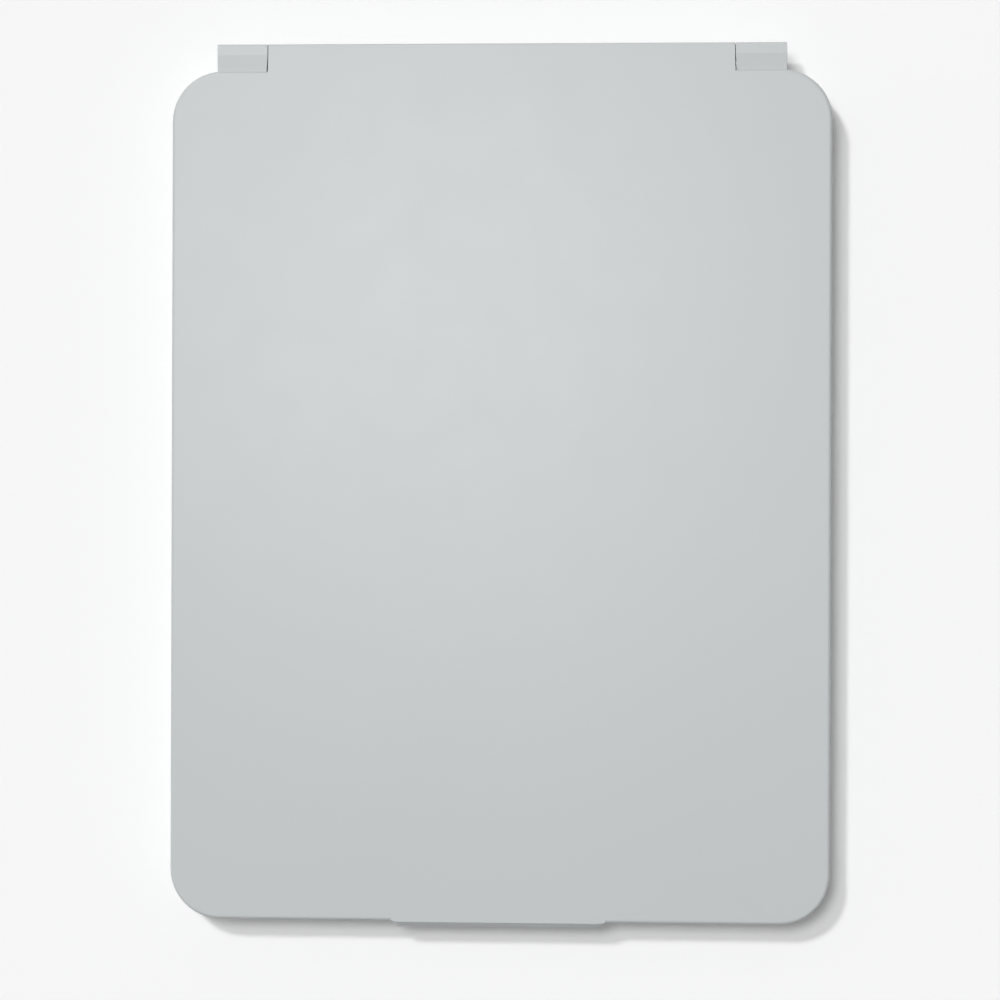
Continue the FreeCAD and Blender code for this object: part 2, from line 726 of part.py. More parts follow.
def led_ribbon():
    """A flat ribbon from the control board, up through the tray, onto the light board by the hinge."""
    body = body_at("led_ribbon", "0", "0", "Sizes.ribbon_x - Sizes.ribbon_width / 2")
    profile = sketch_on(body, "YZ_Plane")
    far = "Places.ribbon_rise_y + Sizes.ribbon_thickness / 2"
    near = "Places.ribbon_rise_y - Sizes.ribbon_thickness / 2"
    start = "Places.board_front + Sizes.ribbon_overlap"
    end = "Places.led_edge_y - Sizes.ribbon_grip"
    low, high = "Places.board_top", "Places.led_level"
    polygon(
        profile,
        [
            (start, low),
            (start, f"{low} + Sizes.ribbon_thickness"),
            (far, f"{low} + Sizes.ribbon_thickness"),
            (far, f"{high} + Sizes.ribbon_thickness"),
            (end, f"{high} + Sizes.ribbon_thickness"),
            (end, high),
            (near, high),
            (near, low),
        ],
    )
    pad(body, profile, "Sizes.ribbon_width")


def led_boards():
    """Four strips of board in the light channel, and the light packages on them."""
    level = "Places.led_board_level"
    width, thickness = "Sizes.led_board_width", "Sizes.led_board_thickness"
    middle = "Places.window_middle"
    packages = []
    for name, side in (("hinge_side", 1), ("lip_side", -1)):
        y = f"{middle} + {side} * Places.led_line_y"
        keep(block("Places.led_board_short", width, thickness, "0", y, level), f"led_board_{name}")
        step = f"Places.led_board_short / {LEDS_ACROSS}"
        for index in range(LEDS_ACROSS):
            x = f"{index - (LEDS_ACROSS - 1) / 2} * {step}"
            packages.append(led_package("Sizes.led_length", "Sizes.led_width", x, y))
    for name, side in (("right", 1), ("left", -1)):
        x = f"{side} * Places.led_line_x"
        keep(block(width, "Places.led_board_long", thickness, x, middle, level), f"led_board_{name}")
        step = f"Places.led_board_long / {LEDS_ALONG}"
        for index in range(LEDS_ALONG):
            y = f"{middle} + {index - (LEDS_ALONG - 1) / 2} * {step}"
            packages.append(led_package("Sizes.led_width", "Sizes.led_length", x, y))
    keep(joined("Compound", packages), "led_packages")


def led_package(width, length, x, y):
    return block(width, length, "Sizes.led_height", x, y, "Places.led_level")


def control_board():
    middle_x = "(Sizes.board_left + Places.board_right) / 2"
    thickness, level = "Sizes.board_thickness", "Places.board_level"
    size = ("Places.board_width", "Sizes.board_length", thickness)
    board = block(*size, middle_x, "Places.board_middle", level)
    post_y = "Places.case_middle + Places.screw_y"
    post_radius = "Sizes.post_radius + Sizes.board_clearance"
    hole = rod(post_radius, thickness, "Places.screw_x", post_y, level, ALONG_Z)
    notch_width = "Sizes.usb_width + 2 * Sizes.board_clearance"
    notch_x = "Places.usb_back + Sizes.usb_depth / 2 - Sizes.board_clearance"
    notch = block("Sizes.usb_depth", notch_width, thickness, notch_x, "Places.usb_y", level)
    cutoff = ("2 * Sizes.board_cutoff_x", "2 * Sizes.board_cutoff_y", thickness)
    corner = block(*cutoff, "Places.board_right", "Places.board_back", level)
    keep(cut(board, [hole, notch, corner]), "control_board")


def board_components():
    """The charger, the light driver, its coil and a row of capacitors."""
    y, z = "Places.board_middle", "Places.board_top"
    chip = ("Sizes.chip_side", "Sizes.chip_side", "Sizes.chip_height")
    coil = ("Sizes.coil_side", "Sizes.coil_side", "Sizes.coil_height")
    capacitor = ("Sizes.capacitor_length", "Sizes.capacitor_width", "Sizes.chip_height")
    parts = [
        block(*chip, "Sizes.charger_x", y, z),
        block(*chip, "Sizes.driver_x", y, z),
        block(*coil, "Sizes.coil_x", y, z),
    ]
    for index in range(CAPACITORS):
        x = f"Sizes.capacitor_x + {index} * Sizes.capacitor_spacing"
        parts.append(block(*capacitor, x, y, z))
    keep(joined("Compound", parts), "board_components")


def charging_socket():
    body = body_at("usb_c_shell", "Places.usb_y", "Places.usb_z", "Places.usb_back")
    outline = sketch_on(body, "YZ_Plane")
    rounded_outline(outline, *USB_OUTLINE)
    pad(body, outline, "Sizes.usb_depth")
    mouth = sketch_on(body, "YZ_Plane", "Sizes.usb_skin")
    rounded_outline(mouth, *inset(USB_OUTLINE, "Sizes.usb_skin"))
    pocket(body, mouth, "Sizes.usb_depth")
    x = "Places.usb_back + Sizes.usb_skin + Sizes.tongue_length / 2"
    z = "Places.usb_z - Sizes.tongue_thickness / 2"
    size = ("Sizes.tongue_length", "Sizes.tongue_width", "Sizes.tongue_thickness")
    keep(block(*size, x, "Places.usb_y", z), "usb_c_tongue")


def charge_light_pipe():
    x = "Places.usb_mouth + Sizes.usb_recess - Sizes.pipe_length"
    pipe = rod("Sizes.pipe_radius", "Sizes.pipe_length", x, "Places.pipe_y", "Places.pipe_z", ALONG_X)
    keep(pipe, "charge_light_pipe")


def battery():
    middle_y = "Places.battery_back - Sizes.battery_length / 2"
    body = body_at("battery_cell", middle_y, "Places.battery_level")
    outline = sketch_on(body, "XY_Plane")
    size = ("Sizes.battery_width", "Sizes.battery_length", "Sizes.battery_edge_radius")
    rounded_outline(outline, *size)
    pad(body, outline, "Sizes.battery_thickness")
    width = "Sizes.battery_width - 2 * Sizes.battery_tape_margin"
    length = "Sizes.battery_length - 2 * Sizes.battery_tape_margin"
    tape = block(width, length, "Sizes.battery_tape_thickness", "0", middle_y, "Places.floor_top")
    keep(tape, "battery_tape")
    for name, side in (("red", -1), ("black", 1)):
        x = f"{side} * Sizes.lead_spacing / 2"
        run = "Places.board_front - Places.battery_back"
        lead = rod("Sizes.lead_radius", run, x, "Places.battery_back", "Places.lead_z", ALONG_Y)
        keep(lead, f"battery_lead_{name}")
    socket_y = "Places.board_front + Sizes.socket_length / 2"
    socket_z = "Places.board_level - Sizes.socket_height"
    size = ("Sizes.socket_width", "Sizes.socket_length", "Sizes.socket_height")
    keep(block(*size, "0", socket_y, socket_z), "battery_socket")


def magnets():
    """Pairs of bar magnets that hold the cover shut at the lip."""
    y = "Places.case_middle + Places.magnet_y"
    size = ("Sizes.magnet_length", "Sizes.magnet_width", "Sizes.magnet_thickness")
    levels = (
        ("keeper_magnets", "Places.plate_underside - Sizes.magnet_thickness"),
        ("cover_magnets", "Places.cover_bottom + Sizes.magnet_clearance"),
    )
    for label, level in levels:
        pair = [block(*size, f"{side} * Places.magnet_x", y, level) for side in (-1, 1)]
        keep(joined("Compound", pair), label)


def rear_feet():
    feet = []
    for x, y in four_corners("Places.foot_x", "Places.foot_y"):
        height = "Sizes.foot_height + Sizes.foot_seat"
        spot = (x, f"Places.case_middle + {y}", "0")
        feet.append(bevelled_rod("Sizes.foot_radius", "Sizes.foot_edge", height, *spot))
    keep(joined("Compound", feet), "rear_feet")


def housing_screws():
    screws = []
    for x, y in four_corners("Places.screw_x", "Places.screw_y"):
        spot = (x, f"Places.case_middle + {y}", "Places.screw_bottom")
        head = rod("Sizes.screw_head_radius", "Sizes.screw_head_height", *spot, ALONG_Z)
        length = "Places.floor_top - Places.screw_bottom + Sizes.screw_length"
        shank = rod("Sizes.screw_radius", length, *spot, ALONG_Z)
        screws.append(joined("MultiFuse", [head, shank]))
    keep(joined("Compound", screws), "housing_screws")


def friction_sleeves():
    """Split sleeves pressed into the lugs, which grip the hinge pins."""
    starts = (("right", "Places.lug_inner"), ("left", "-Places.lug_inner - Places.sleeve_length"))
    for name, x in starts:
        body = body_at(f"friction_sleeve_{name}", "Places.axis_y", "Places.axis_z", x)
        ring = sketch_on(body, "YZ_Plane")
        circle(ring, "0", "0", "Places.sleeve_radius")
        circle(ring, "0", "0", "Places.sleeve_bore")
        pad(body, ring, "Places.sleeve_length")
        slot = sketch_on(body, "YZ_Plane")
        rectangle(slot, "0", "-Places.sleeve_radius", "Sizes.sleeve_slot", "2 * Places.sleeve_radius")
        pocket(body, slot, "Places.sleeve_length")


# Cover half


def cover_shell():
    body = body_at("cover_shell", "Places.case_middle", "Places.cover_bottom")
    outline = sketch_on(body, "XY_Plane")
    rounded_outline(outline, *CASE_OUTLINE)
    pad(body, outline, "Sizes.cover_height")
    top = Sizes.cover_height
    dress_edges(body, "Fillet", "Radius", "Sizes.cover_edge_radius", lies_at(top))
    hinge_knuckle(body)
    thumb_lip(body)
    hollow = sketch_on(body, "XY_Plane")
    rounded_outline(hollow, *inset(CASE_OUTLINE, "Sizes.cover_rim"))
    pocket(body, hollow, "Sizes.cover_height - Sizes.cover_skin")

    notches = sketch_on(body, "XY_Plane")
    middle = "(Places.lug_inner + Places.lug_outer) / 2"
    width = "Sizes.lug_width + 2 * Sizes.notch_gap"
    for side in (-1, 1):
        rectangle(notches, f"{side} * {middle}", "Places.hinge_edge", width, "2 * Sizes.notch_depth")
    pocket(body, notches, "Sizes.cover_height - Sizes.flange_skin")
    pin_bore = sketch_on(body, "YZ_Plane", "Places.pin_inner")
    axis_z = "Places.axis_z - Places.cover_bottom"
    circle(pin_bore, "Places.axis_reach", axis_z, "Sizes.pin_radius + Sizes.pin_fit")
    mirrored(body, [pocket(body, pin_bore, "Sizes.pin_grip + Sizes.knuckle_flare")])

    beds = sketch_on(body, "XY_Plane")
    width = "Sizes.magnet_length + 2 * Sizes.magnet_clearance"
    length = "Sizes.magnet_width + 2 * Sizes.magnet_clearance"
    for side in (-1, 1):
        rectangle(beds, f"{side} * Places.magnet_x", "Places.magnet_y", width, length)
    pocket(body, beds, "Sizes.magnet_thickness + Sizes.magnet_clearance")
    seats = sketch_on(body, "XY_Plane")
    width = "Sizes.bumper_length + 2 * Sizes.bumper_clearance"
    length = "Sizes.bumper_width + 2 * Sizes.bumper_clearance"
    for x, y in four_corners("Places.bumper_x", "Places.bumper_y"):
        rectangle(seats, x, y, width, length)
    pocket(body, seats, "Sizes.bumper_seat")


def hinge_knuckle(body):
    """The long middle knuckle of the hinge: flat on top like the cover, half round below."""
    axis_y = "Places.axis_reach"
    axis_z = "(Places.axis_z - Places.cover_bottom)"
    bottom = f"{axis_z} - Sizes.barrel_radius"
    front = "Places.barrel_front"
    root = "Places.hinge_edge - Sizes.knuckle_lap"
    web = sketch_on(body, "YZ_Plane", "-Places.knuckle_root")
    polygon(
        web,
        [
            (front, axis_z),
            (front, "Sizes.cover_height"),
            (root, "Sizes.cover_height"),
            (root, "0"),
            (f"{axis_y} - Sizes.barrel_radius", axis_z),
        ],
    )
    pad(body, web, "2 * Places.knuckle_root")
    barrel = sketch_on(body, "YZ_Plane", "-Places.knuckle_root")
    circle(barrel, axis_y, axis_z, "Sizes.barrel_radius")
    pad(body, barrel, "2 * Places.knuckle_root")
    level = Sizes.cover_height
    dress_edges(body, "Fillet", "Radius", "Sizes.barrel_edge_radius", front_edge_at(level))
    ends = sketch_on(body, "XY_Plane", bottom)
    beyond = "Places.knuckle_root + Sizes.lug_gap"
    polygon(
        ends,
        [
            ("Places.knuckle_root", "Places.hinge_edge"),
            ("Places.knuckle_half", axis_y),
            ("Places.knuckle_half", front),
            (beyond, front),
            (beyond, "Places.hinge_edge"),
        ],
    )
    mirrored(body, [pocket(body, ends, "2 * Sizes.barrel_radius")])


def thumb_lip(body):
    """A lip at the front edge for the thumb: upright below, sloping back to the top face above."""
    bend = "Sizes.cover_height - Sizes.lip_drop"
    foot = sketch_on(body, "XY_Plane")
    lip_outline(foot, "Sizes.lip_reach")
    pad(body, foot, bend)
    low = sketch_on(body, "XY_Plane", bend)
    lip_outline(low, "Sizes.lip_reach")
    high = sketch_on(body, "XY_Plane", "Sizes.cover_height")
    lip_outline(high, "Sizes.lip_top_reach")
    slope = body.newObject("PartDesign::AdditiveLoft", "Loft")
    slope.Profile = low
    slope.Sections = [high]
    slope.Ruled = True


def lip_outline(sketch, reach):
    """The lip in plan: a strip whose ends run out slantwise into the cover's edge."""
    half, wide = "Sizes.lip_width / 2", "Sizes.lip_width / 2 + Sizes.lip_flare"
    edge = "-Places.hinge_edge"
    root, front = f"{edge} + Sizes.lip_lap", f"{edge} - {reach}"
    left = [(f"-({wide})", root), (f"-({wide})", edge), (f"-{half}", front)]
    right = [(half, front), (wide, edge), (wide, root)]
    polygon(sketch, left + right)


def cover_liner():
    level = "Places.cover_top - Sizes.cover_skin - Sizes.liner_thickness"
    body = body_at("cover_liner", "Places.case_middle", level)
    outline = sketch_on(body, "XY_Plane")
    rounded_outline(outline, *inset(CASE_OUTLINE, "(Sizes.cover_rim + Sizes.liner_clearance)"))
    pad(body, outline, "Sizes.liner_thickness")


def cover_bumpers():
    bumpers = []
    size = ("Sizes.bumper_length", "Sizes.bumper_width", "Sizes.bumper_proud + Sizes.bumper_seat")
    level = "Places.cover_bottom - Sizes.bumper_proud"
    for x, y in four_corners("Places.bumper_x", "Places.bumper_y"):
        bumpers.append(block(*size, x, f"Places.case_middle + {y}", level))
    keep(joined("Compound", bumpers), "cover_bumpers")


def hinge_pins():
    starts = (("right", "Places.pin_inner"), ("left", "-Places.pin_inner - Places.pin_length"))
    for name, x in starts:
        pin = rod("Sizes.pin_radius", "Places.pin_length", x, "Places.axis_y", "Places.axis_z", ALONG_X)
        keep(pin, f"hinge_pin_{name}")


# Power button


def power_button():
    body = body_at("power_button", "Places.chin_middle", "Places.plunger_top")
    stem = sketch_on(body, "XY_Plane")
    circle(stem, "0", "0", "Sizes.button_stem_radius")
    pad(body, stem, "Places.button_flange_top - Places.plunger_top")
    flange_level = "Places.button_flange_top - Sizes.button_flange - Places.plunger_top"
    flange = sketch_on(body, "XY_Plane", flange_level)
    circle(flange, "0", "0", "Sizes.button_radius + Sizes.button_flange_lap")
    pad(body, flange, "Sizes.button_flange")
    cap = sketch_on(body, "XY_Plane", flange_level)
    circle(cap, "0", "0", "Sizes.button_radius")
    pad(body, cap, "Places.base_top - Places.button_flange_top + Sizes.button_flange")
    top = Places.base_top - Places.plunger_top
    dress_edges(body, "Chamfer", "Size", "Sizes.button_edge", lies_at(top))
    dish = sketch_on(body, "XY_Plane", "Places.base_top - Places.plunger_top - Sizes.button_dish_depth")
    circle(dish, "0", "0", "Sizes.button_dish_radius")
    pocket(body, dish, "Sizes.button_dish_depth")


def push_switch():
    y, z = "Places.chin_middle", "Places.board_top"
    side = "Sizes.switch_side"
    case = block(side, side, "Sizes.switch_height", "0", y, z)
    bore_radius = "Sizes.plunger_radius + Sizes.plunger_fit"
    bore_depth = "Sizes.plunger_seat + Sizes.button_travel + Sizes.plunger_fit"
    bore_z = f"Places.switch_top - ({bore_depth})"
    bore = rod(bore_radius, bore_depth, "0", y, bore_z, ALONG_Z)
    keep(cut(case, [bore]), "switch_body")
    plunger_z = "Places.switch_top - Sizes.plunger_seat"
    height = "Sizes.plunger_seat + Sizes.plunger_rise"
    keep(rod("Sizes.plunger_radius", height, "0", y, plunger_z, ALONG_Z), "switch_plunger")


def check_features():
    """Stops on any failed object, any cut that removes nothing and any bad solid."""
    for piece in doc.Objects:
        if "Invalid" in piece.State or "Error" in piece.State:
            raise RuntimeError(f"{piece.Label} of {piece.TypeId} failed: {piece.State}")
        if piece.TypeId == "PartDesign::Pocket":
            removed = piece.BaseFeature.Shape.Volume - piece.Shape.Volume
            if removed < NEAR:
                raise RuntimeError(f"{piece.Label} removes nothing")
    for node in nodes:
        if node.Shape.isNull() or not node.Shape.isValid():
            raise RuntimeError(f"{node.Label} has no valid shape")


Sizes = fill_sheet("Sizes", SIZES, "")
Places = fill_sheet("Places", PLACES, "=")
for build in (
    rear_housing,
    front_bezel,
    light_diffuser,
    mirror_glass,
    mirror_tape,
    mirror_carrier,
    led_boards,
    led_ribbon,
    control_board,
    board_components,
    charging_socket,
    charge_light_pipe,
    battery,
    magnets,
    rear_feet,
    housing_screws,
    friction_sleeves,
    cover_shell,
    cover_liner,
    cover_bumpers,
    hinge_pins,
    power_button,
    push_switch,
):
    build()
doc.recompute()
check_features()
os.makedirs("parts", exist_ok=True)
for node in nodes:
    node.Shape.exportStep(f"parts/{node.Label}.step")
    box = node.Shape.BoundBox
    print(node.Label, len(node.Shape.Solids), round(node.Shape.Volume, 1), box)
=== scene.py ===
# Lighted travel mirror: finishes, fine detail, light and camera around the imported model.
# Metres and degrees, in the model's own frame: X to the right, Y towards the hinge, Z up.
from math import cos, pi, radians, sin, sqrt

import bmesh
import bpy
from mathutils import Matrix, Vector

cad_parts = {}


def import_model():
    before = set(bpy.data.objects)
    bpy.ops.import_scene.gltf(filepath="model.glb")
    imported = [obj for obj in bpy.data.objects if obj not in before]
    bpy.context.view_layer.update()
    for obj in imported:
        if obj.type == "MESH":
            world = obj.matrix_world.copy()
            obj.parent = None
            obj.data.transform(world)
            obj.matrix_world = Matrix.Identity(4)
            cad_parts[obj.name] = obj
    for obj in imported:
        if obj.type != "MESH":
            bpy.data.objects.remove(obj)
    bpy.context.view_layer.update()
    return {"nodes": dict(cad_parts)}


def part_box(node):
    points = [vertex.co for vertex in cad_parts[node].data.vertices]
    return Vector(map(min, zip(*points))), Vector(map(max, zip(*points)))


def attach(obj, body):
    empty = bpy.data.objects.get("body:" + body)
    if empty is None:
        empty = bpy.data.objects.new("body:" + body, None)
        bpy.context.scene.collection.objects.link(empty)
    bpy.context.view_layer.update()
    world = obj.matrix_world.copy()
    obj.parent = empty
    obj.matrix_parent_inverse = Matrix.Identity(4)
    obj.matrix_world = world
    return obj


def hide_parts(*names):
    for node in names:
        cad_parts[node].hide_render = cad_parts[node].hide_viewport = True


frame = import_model()
nodes = frame["nodes"]

# Camera: almost straight above the cover, a little to the right of its middle
PICTURE_PIXELS = 1000
PIXEL_ON_OBJECT = 0.0002575
VIEW_DISTANCE = 1.2
SENSOR_MILLIMETRES = 36.0
CAMERA_PLACE = (0.1026, 0.00066, 1.20538)
CAMERA_TURN = (-0.1939, 4.9117, 0.1937)

# Lamps: a level of 1 shows a white sheet that lies flat as white
KEY_LEVEL = 0.38
KEY_FROM = (-0.315, 0.44, 1.0)
KEY_SPREAD = 6.0
FILL_LEVEL = 0.42
FILL_FROM = (-0.105, 0.20, 1.0)
FILL_SPREAD = 14.5
EDGE_LEVEL = 0.008
EDGE_FROM = (-1.0, 0.15, 0.09)
EDGE_SPREAD = 10.0
SOFTBOX_LEVEL = 0.36
SOFTBOX_PLACE = (-0.076, 0.070, 0.6)
SOFTBOX_WIDTH = 0.18

# World: its light, and the tones that reflections show
WORLD_LEVEL = 0.20
WORLD_LEAN = (-0.40, 0.55, 0.0)
HORIZON_TONE = (0.93, 0.93, 0.93, 1.0)
ZENITH_TONE = (0.60, 0.60, 0.61, 1.0)

# Floor
FLOOR_COLOUR = (0.77, 0.77, 0.77, 1.0)
FLOOR_GLOW = 0.150
FLOOR_HALF = 6.0

# One repeat of the wave and brick textures at a scale of 1
WAVE_PERIOD = 0.314
BRICK_ROW = 0.25

# Liner of the cover
LINER_EDGE_RUN = 0.0008
LINER_EDGE_SHARE = 0.35
LINER_SEAM_INSET = 0.0042
LINER_SEAM_HALF = 0.0008
LINER_SEAM_DEPTH = 0.00045
LINER_CORNER = 0.00625
LINER_CORNER_STEPS = 12
LINER_FINE_STEP = 0.0002
LINER_FINE_RUN = 0.0052
LINER_CREASE = 60.0

# Screws of the rear housing
SCREW_HEAD_RADIUS = 0.0018
SCREW_HEAD_HEIGHT = 0.0008
SCREW_DOME = 0.0003
SCREW_DOME_STEPS = 4
SCREW_FLAT_SHARE = 1.15
SCREW_SHANK_RADIUS = 0.00095
SCREW_ROOT_RADIUS = 0.00072
SCREW_PITCH = 0.0007
SCREW_PITCH_STEPS = 4
SCREW_STEPS = 36
SCREW_CREASE = 35.0
CROSS_HALF_LENGTH = 0.00105
CROSS_HALF_WIDTH = 0.00026
CROSS_DEPTH = 0.0005
CROSS_TAPER = 0.6

# Contacts on the tongue of the charging socket
CONTACT_COUNT = 12
CONTACT_PITCH = 0.0005
CONTACT_WIDTH = 0.00026
CONTACT_LENGTH = 0.0034
CONTACT_RISE = 0.00004
CONTACT_SETBACK = 0.0003
CONTACT_SLOPE = 0.0003

# Power mark in the dish of the button, with its bar towards the lip
DISH_DEPTH = 0.00015
MARK_RADIUS = 0.0017
MARK_LINE = 0.00036
MARK_RISE = 0.00004
MARK_BAR = 0.0017
MARK_BAR_ANGLE = -90.0
MARK_HALF_GAP = 40.0
MARK_STEPS = 40


def new_node(tree, kind, **settings):
    """Adds a node to a tree and sets its options."""
    made = tree.nodes.new(kind)
    for name, value in settings.items():
        setattr(made, name, value)
    return made


class Finish:
    """A Principled material and the nodes that give it detail."""

    def __init__(self, name, colour, roughness, **sockets):
        """Plain values first. Other sockets go by name, with _ for a space."""
        self.material = bpy.data.materials.new(name)
        self.material.use_nodes = True
        self.tree = self.material.node_tree
        self.shader = self.tree.nodes["Principled BSDF"]
        self.shader.inputs["Base Color"].default_value = (*colour, 1.0)
        self.shader.inputs["Roughness"].default_value = roughness
        for socket, value in sockets.items():
            self.shader.inputs[socket.replace("_", " ")].default_value = value
        self.place = self.node("ShaderNodeTexCoord").outputs["Object"]

    def node(self, kind, **settings):
        return new_node(self.tree, kind, **settings)

    def link(self, start, end):
        self.tree.links.new(start, end)

    def noise(self, grain, detail=2.0, stretch=(1, 1, 1)):
        """Noise whose blotches are about one grain across."""
        texture = self.node("ShaderNodeTexNoise")
        texture.inputs["Scale"].default_value = 1.0 / grain
        texture.inputs["Detail"].default_value = detail
        spread = self.node("ShaderNodeMapping")
        spread.inputs["Scale"].default_value = stretch
        self.link(self.place, spread.inputs["Vector"])
        self.link(spread.outputs["Vector"], texture.inputs["Vector"])
        return texture.outputs["Fac"]

    def cells(self, grain):
        """Distance from the middle of cells about one grain across."""
        texture = self.node("ShaderNodeTexVoronoi")
        texture.inputs["Scale"].default_value = 1.0 / grain
        self.link(self.place, texture.inputs["Vector"])
        return texture.outputs["Distance"]

    def stripes(self, pitch, axis):
        """Even bands across one axis."""
        texture = self.node("ShaderNodeTexWave", bands_direction=axis)
        texture.inputs["Scale"].default_value = WAVE_PERIOD / pitch
        self.link(self.place, texture.inputs["Vector"])
        return texture.outputs["Fac"]

    def colour_from(self, fac, low, high):
        """Colour that runs from low to high with a texture."""
        blend = self.node("ShaderNodeValToRGB")
        blend.color_ramp.elements[0].color = (*low, 1.0)
        blend.color_ramp.elements[1].color = (*high, 1.0)
        self.link(fac, blend.inputs["Fac"])
        self.link(blend.outputs["Color"], self.shader.inputs["Base Color"])

    def roughness_from(self, fac, low, high):
        """Roughness that runs from low to high with a texture."""
        spread = self.node("ShaderNodeMapRange")
        spread.inputs["To Min"].default_value = low
        spread.inputs["To Max"].default_value = high
        self.link(fac, spread.inputs["Value"])
        self.link(spread.outputs["Result"], self.shader.inputs["Roughness"])

    def bump_from(self, fac, depth):
        """Relief of a given depth. A second call lies on top of the first."""
        relief = self.node("ShaderNodeBump")
        relief.inputs["Strength"].default_value = 1.0
        relief.inputs["Distance"].default_value = depth
        socket = self.shader.inputs["Normal"]
        if socket.is_linked:
            self.link(socket.links[0].from_socket, relief.inputs["Normal"])
        self.link(fac, relief.inputs["Height"])
        self.link(relief.outputs["Normal"], socket)


def dress(finish, *names):
    """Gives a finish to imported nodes."""
    for name in names:
        nodes[name].data.materials.clear()
        nodes[name].data.materials.append(finish.material)


def shade(colour, factor):
    """A colour made darker or lighter."""
    return tuple(part * factor for part in colour)


# Finishes


def case_plastic():
    """Light grey moulded plastic with a fine spark-eroded grain."""
    grey = (0.486, 0.509, 0.517)
    finish = Finish("case_plastic", grey, roughness=0.40)
    finish.colour_from(finish.noise(grain=0.060), low=shade(grey, 0.985), high=shade(grey, 1.015))
    finish.roughness_from(finish.noise(grain=0.012, detail=3.0), low=0.37, high=0.43)
    finish.bump_from(finish.noise(grain=0.00025, detail=3.0), depth=0.000006)
    return finish


def diffuser_plastic():
    """Frosted opal plastic over the lights."""
    opal = (0.90, 0.90, 0.885)
    depth_of_light = {"Subsurface_Weight": 0.25, "Subsurface_Scale": 0.002}
    finish = Finish("diffuser_plastic", opal, roughness=0.38, **depth_of_light)
    finish.colour_from(finish.noise(grain=0.020), low=shade(opal, 0.98), high=opal)
    finish.bump_from(finish.cells(grain=0.0005), depth=0.00002)
    return finish


def mirror_silver():
    """Silvered glass, wiped almost clean."""
    silver = (0.84, 0.87, 0.865)
    finish = Finish("mirror_silver", silver, roughness=0.02, Metallic=1.0)
    finish.roughness_from(finish.noise(grain=0.030, detail=4.0), low=0.012, high=0.035)
    return finish


def foam_tape():
    """Black foam with open pores."""
    black = (0.05, 0.05, 0.052)
    pore = (0.03, 0.03, 0.03)
    web = (0.07, 0.07, 0.072)
    finish = Finish("foam_tape", black, roughness=0.9)
    pores = finish.cells(grain=0.0006)
    finish.colour_from(pores, low=pore, high=web)
    finish.bump_from(pores, depth=0.0001)
    return finish


def moulded(name, colour, roughness=0.5):
    """Plain moulded plastic of a small piece."""
    finish = Finish(name, colour, roughness)
    finish.colour_from(finish.noise(grain=0.008), low=shade(colour, 0.94), high=colour)
    finish.bump_from(finish.noise(grain=0.0003, detail=3.0), depth=0.00001)
    return finish


def led_lens():
    """White packages filled with phosphor gel."""
    cream = (0.93, 0.85, 0.45)
    gel = (0.95, 0.72, 0.18)
    package = (0.95, 0.93, 0.85)
    finish = Finish("led_lens", cream, roughness=0.25)
    finish.colour_from(finish.cells(grain=0.0012), low=gel, high=package)
    return finish


def ribbon_film():
    """Amber film over flat copper tracks."""
    amber = (0.66, 0.36, 0.07)
    gap = (0.55, 0.24, 0.04)
    track = (0.74, 0.46, 0.13)
    finish = Finish("ribbon_film", amber, roughness=0.28)
    tracks = finish.stripes(pitch=0.001, axis="X")
    finish.colour_from(tracks, low=gap, high=track)
    finish.bump_from(tracks, depth=0.00004)
    return finish


def board_green():
    """Green solder mask over copper tracks, which show as the joints of a brick pattern."""
    green = (0.02, 0.17, 0.08)
    bare = (0.012, 0.12, 0.055)
    track = (0.04, 0.27, 0.13)
    row = 0.0015625
    finish = Finish("board_green", green, roughness=0.3)
    tracks = finish.node("ShaderNodeTexBrick")
    tracks.inputs["Scale"].default_value = BRICK_ROW / row
    for socket, tone in (("Color1", 0.0), ("Color2", 0.2), ("Mortar", 1.0)):
        tracks.inputs[socket].default_value = (tone, tone, tone, 1.0)
    finish.link(finish.place, tracks.inputs["Vector"])
    finish.colour_from(tracks.outputs["Color"], low=bare, high=track)
    finish.bump_from(tracks.outputs["Fac"], depth=0.00004)
    return finish


def plated(name, colour, roughness, stretch=(1, 1, 1)):
    """Bare or plated metal with fine drawing marks."""
    finish = Finish(name, colour, roughness, Metallic=1.0)
    marks = finish.noise(grain=0.0004, detail=4.0, stretch=stretch)
    finish.colour_from(marks, low=shade(colour, 0.86), high=colour)
    finish.roughness_from(marks, low=0.7 * roughness, high=1.3 * roughness)
    finish.bump_from(marks, depth=0.000008)
    return finish


def light_pipe_clear():
    """Clear acrylic, a little frosted in patches."""
    clear = (0.92, 0.94, 0.94)
    finish = Finish("light_pipe_clear", clear, roughness=0.08, Transmission_Weight=0.9, IOR=1.49)
    finish.roughness_from(finish.noise(grain=0.001), low=0.05, high=0.14)
    return finish


def battery_foil():
    """Soft foil pouch with shallow creases."""
    foil = (0.66, 0.67, 0.68)
    finish = Finish("battery_foil", foil, roughness=0.34, Metallic=0.8)
    creases = finish.noise(grain=0.006, detail=5.0)
    finish.roughness_from(creases, low=0.26, high=0.44)
    finish.bump_from(creases, depth=0.0002)
    return finish


def lead(name, colour):
    """Insulation of a thin wire."""
    finish = Finish(name, colour, roughness=0.5)
    finish.colour_from(finish.noise(grain=0.003), low=shade(colour, 0.85), high=colour)
    finish.bump_from(finish.noise(grain=0.0004), depth=0.00001)
    return finish


def silicone():
    """Matt grey rubber of feet and bumpers."""
    grey = (0.36, 0.375, 0.38)
    finish = Finish("silicone", grey, roughness=0.72)
    finish.colour_from(finish.noise(grain=0.004, detail=3.0), low=shade(grey, 0.92), high=grey)
    finish.bump_from(finish.noise(grain=0.0002, detail=3.0), depth=0.00001)
    return finish


